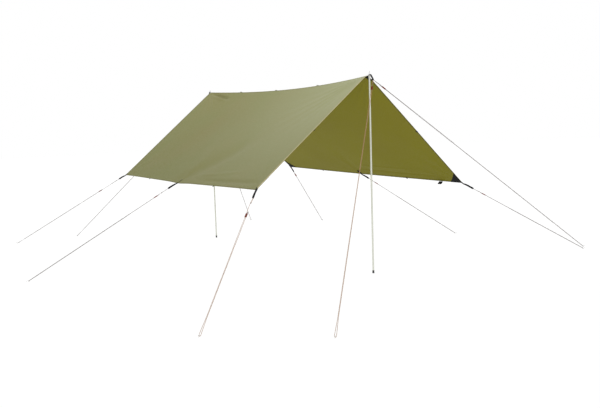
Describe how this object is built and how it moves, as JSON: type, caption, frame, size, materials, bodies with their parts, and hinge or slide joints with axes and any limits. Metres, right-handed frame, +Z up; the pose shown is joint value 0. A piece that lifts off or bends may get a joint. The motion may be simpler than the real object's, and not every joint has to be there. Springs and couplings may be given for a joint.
{
  "type": "tarp shelter",
  "caption": "Ridge tarp shelter: a square canopy over two sectional poles, held by guy lines with sliding runners and hook pegs.",
  "frame": {"origin": "centre of the front pole's foot, on the ground", "axes": "+Y along the ridge from the front pole to the rear pole, +Z up, +X to the right when looking along the ridge from the front"},
  "size_m": [5.1029, 5.9568, 1.9768],
  "materials": {
    "tarp_fabric": "coated ripstop, grey olive outside and yellow olive inside, satin",
    "hem_fabric": "folded and stitched, satin",
    "patch_fabric": "black coated reinforcement cloth",
    "webbing": "black woven webbing",
    "guy_cord": "braided, grey brown with pale and red flecks",
    "runner_anodised": "orange red anodised, satin",
    "peg_steel": "bright drawn wire",
    "pole_aluminium": "pale matt anodised",
    "eyelet_metal": "rolled ring, satin",
    "black_plastic": "moulded, matt",
    "shock_cord": "elastic cord with a white braided cover"
  },
  "bodies": {
    "canopy": {"left_panel": "tarp_fabric", "right_panel": "tarp_fabric", "ridge_seam": "hem_fabric", "side_hems": "hem_fabric", "gable_hems": "hem_fabric", "corner_patches": "patch_fabric", "edge_patches": "patch_fabric", "ridge_patches": "patch_fabric", "ridge_tabs": "webbing", "ridge_eyelets": "eyelet_metal", "ridge_loops": "hem_fabric", "hem_loops": "webbing", "gable_loops": "webbing", "corner_straps": "webbing", "edge_straps": "webbing", "front_strap": "webbing", "rear_strap": "webbing", "guy_left_front": "guy_cord", "guy_left_middle": "guy_cord", "guy_left_rear": "guy_cord", "guy_right_front": "guy_cord", "guy_right_middle": "guy_cord", "guy_right_rear": "guy_cord", "guy_front_left": "guy_cord", "guy_front_right": "guy_cord", "guy_rear_left": "guy_cord", "guy_rear_right": "guy_cord"},
    "hem_tab": {"hem_tab": "webbing"},
    "runner_left_front": {"runner_left_front": "runner_anodised"},
    "peg_left_front": {"peg_left_front": "peg_steel"},
    "runner_left_middle": {"runner_left_middle": "runner_anodised"},
    "peg_left_middle": {"peg_left_middle": "peg_steel"},
    "runner_left_rear": {"runner_left_rear": "runner_anodised"},
    "peg_left_rear": {"peg_left_rear": "peg_steel"},
    "runner_right_front": {"runner_right_front": "runner_anodised"},
    "peg_right_front": {"peg_right_front": "peg_steel"},
    "runner_right_middle": {"runner_right_middle": "runner_anodised"},
    "peg_right_middle": {"peg_right_middle": "peg_steel"},
    "runner_right_rear": {"runner_right_rear": "runner_anodised"},
    "peg_right_rear": {"peg_right_rear": "peg_steel"},
    "runner_front_left": {"runner_front_left": "runner_anodised"},
    "peg_front_left": {"peg_front_left": "peg_steel"},
    "runner_front_right": {"runner_front_right": "runner_anodised"},
    "peg_front_right": {"peg_front_right": "peg_steel"},
    "runner_rear_left": {"runner_rear_left": "runner_anodised"},
    "peg_rear_left": {"peg_rear_left": "peg_steel"},
    "runner_rear_right": {"runner_rear_right": "runner_anodised"},
    "peg_rear_right": {"peg_rear_right": "peg_steel"},
    "front_pole_top": {"front_pole_spike": "peg_steel", "front_pole_upper": "pole_aluminium", "front_pole_cord": "shock_cord"},
    "front_pole_mid": {"front_pole_middle": "pole_aluminium"},
    "front_pole_base": {"front_pole_lower": "pole_aluminium", "front_pole_foot": "black_plastic"},
    "rear_pole_top": {"rear_pole_spike": "peg_steel", "rear_pole_upper": "pole_aluminium", "rear_pole_cord": "shock_cord"},
    "rear_pole_mid": {"rear_pole_middle": "pole_aluminium"},
    "rear_pole_base": {"rear_pole_lower": "pole_aluminium", "rear_pole_foot": "black_plastic"}
  },
  "joints": [
    {"name": "hem_tab_swing", "type": "hinge", "parent": "canopy", "child": "hem_tab", "pos_m": [1.09716, 0.23474, 0.74474], "axis": [0, 1, 0], "range_deg": [-40, 40], "stiffness_Nm_per_rad": 0.001},
    {"name": "runner_left_front_slide", "type": "slide", "parent": "canopy", "child": "runner_left_front", "axis": [-0.6286, -0.5529, -0.5469], "range_m": [0, 0.25]},
    {"name": "peg_left_front_pull", "type": "slide", "parent": "canopy", "child": "peg_left_front", "axis": [-0.4307, -0.3788, 0.8192], "range_m": [0, 0.165]},
    {"name": "runner_left_middle_slide", "type": "slide", "parent": "canopy", "child": "runner_left_middle", "axis": [-0.8521, 0.1581, -0.499], "range_m": [0, 0.25]},
    {"name": "peg_left_middle_pull", "type": "slide", "parent": "canopy", "child": "peg_left_middle", "axis": [-0.564, 0.1046, 0.8192], "range_m": [0, 0.165]},
    {"name": "runner_left_rear_slide", "type": "slide", "parent": "canopy", "child": "runner_left_rear", "axis": [-0.5068, 0.737, -0.4472], "range_m": [0, 0.25]},
    {"name": "peg_left_rear_pull", "type": "slide", "parent": "canopy", "child": "peg_left_rear", "axis": [-0.325, 0.4726, 0.8192], "range_m": [0, 0.165]},
    {"name": "runner_right_front_slide", "type": "slide", "parent": "canopy", "child": "runner_right_front", "axis": [0.8298, -0.2855, -0.4796], "range_m": [0, 0.25]},
    {"name": "peg_right_front_pull", "type": "slide", "parent": "canopy", "child": "peg_right_front", "axis": [0.5424, -0.1866, 0.8192], "range_m": [0, 0.165]},
    {"name": "runner_right_middle_slide", "type": "slide", "parent": "canopy", "child": "runner_right_middle", "axis": [0.806, -0.2373, -0.5422], "range_m": [0, 0.25]},
    {"name": "peg_right_middle_pull", "type": "slide", "parent": "canopy", "child": "peg_right_middle", "axis": [0.5502, -0.162, 0.8192], "range_m": [0, 0.165]},
    {"name": "runner_right_rear_slide", "type": "slide", "parent": "canopy", "child": "runner_right_rear", "axis": [0.6515, 0.3493, -0.6734], "range_m": [0, 0.25]},
    {"name": "peg_right_rear_pull", "type": "slide", "parent": "canopy", "child": "peg_right_rear", "axis": [0.5055, 0.271, 0.8192], "range_m": [0, 0.165]},
    {"name": "runner_front_left_slide", "type": "slide", "parent": "canopy", "child": "runner_front_left", "axis": [-0.5648, -0.5104, -0.6485], "range_m": [0, 0.25]},
    {"name": "peg_front_left_pull", "type": "slide", "parent": "canopy", "child": "peg_front_left", "axis": [-0.4256, -0.3846, 0.8192], "range_m": [0, 0.165]},
    {"name": "runner_front_right_slide", "type": "slide", "parent": "canopy", "child": "runner_front_right", "axis": [0.8157, -0.1246, -0.5648], "range_m": [0, 0.25]},
    {"name": "peg_front_right_pull", "type": "slide", "parent": "canopy", "child": "peg_front_right", "axis": [0.567, -0.0866, 0.8192], "range_m": [0, 0.165]},
    {"name": "runner_rear_left_slide", "type": "slide", "parent": "canopy", "child": "runner_rear_left", "axis": [-0.5016, 0.5557, -0.663], "range_m": [0, 0.25]},
    {"name": "peg_rear_left_pull", "type": "slide", "parent": "canopy", "child": "peg_rear_left", "axis": [-0.3843, 0.4258, 0.8192], "range_m": [0, 0.165]},
    {"name": "runner_rear_right_slide", "type": "slide", "parent": "canopy", "child": "runner_rear_right", "axis": [0.5048, 0.4855, -0.7138], "range_m": [0, 0.25]},
    {"name": "peg_rear_right_pull", "type": "slide", "parent": "canopy", "child": "peg_rear_right", "axis": [0.4134, 0.3976, 0.8192], "range_m": [0, 0.165]},
    {"name": "front_pole_lean", "type": "hinge", "parent": "canopy", "child": "front_pole_top", "pos_m": [0, 0, 1.75], "axis": [1, 0, 0], "range_deg": [-15, 15]},
    {"name": "front_middle_pull", "type": "slide", "parent": "front_pole_top", "child": "front_pole_mid", "axis": [0, 0, -1], "range_m": [0, 0.055], "stiffness_N_per_m": 80, "springref_m": -0.14},
    {"name": "front_lower_pull", "type": "slide", "parent": "front_pole_mid", "child": "front_pole_base", "axis": [0, 0, -1], "range_m": [0, 0.055], "stiffness_N_per_m": 80, "springref_m": -0.14},
    {"name": "rear_pole_lean", "type": "hinge", "parent": "canopy", "child": "rear_pole_top", "pos_m": [0, 3.05, 1.815], "axis": [1, 0, 0], "range_deg": [-15, 15]},
    {"name": "rear_middle_pull", "type": "slide", "parent": "rear_pole_top", "child": "rear_pole_mid", "axis": [0, 0, -1], "range_m": [0, 0.055], "stiffness_N_per_m": 80, "springref_m": -0.14},
    {"name": "rear_lower_pull", "type": "slide", "parent": "rear_pole_mid", "child": "rear_pole_base", "axis": [0, 0, -1], "range_m": [0, 0.055], "stiffness_N_per_m": 80, "springref_m": -0.14}
  ]
}
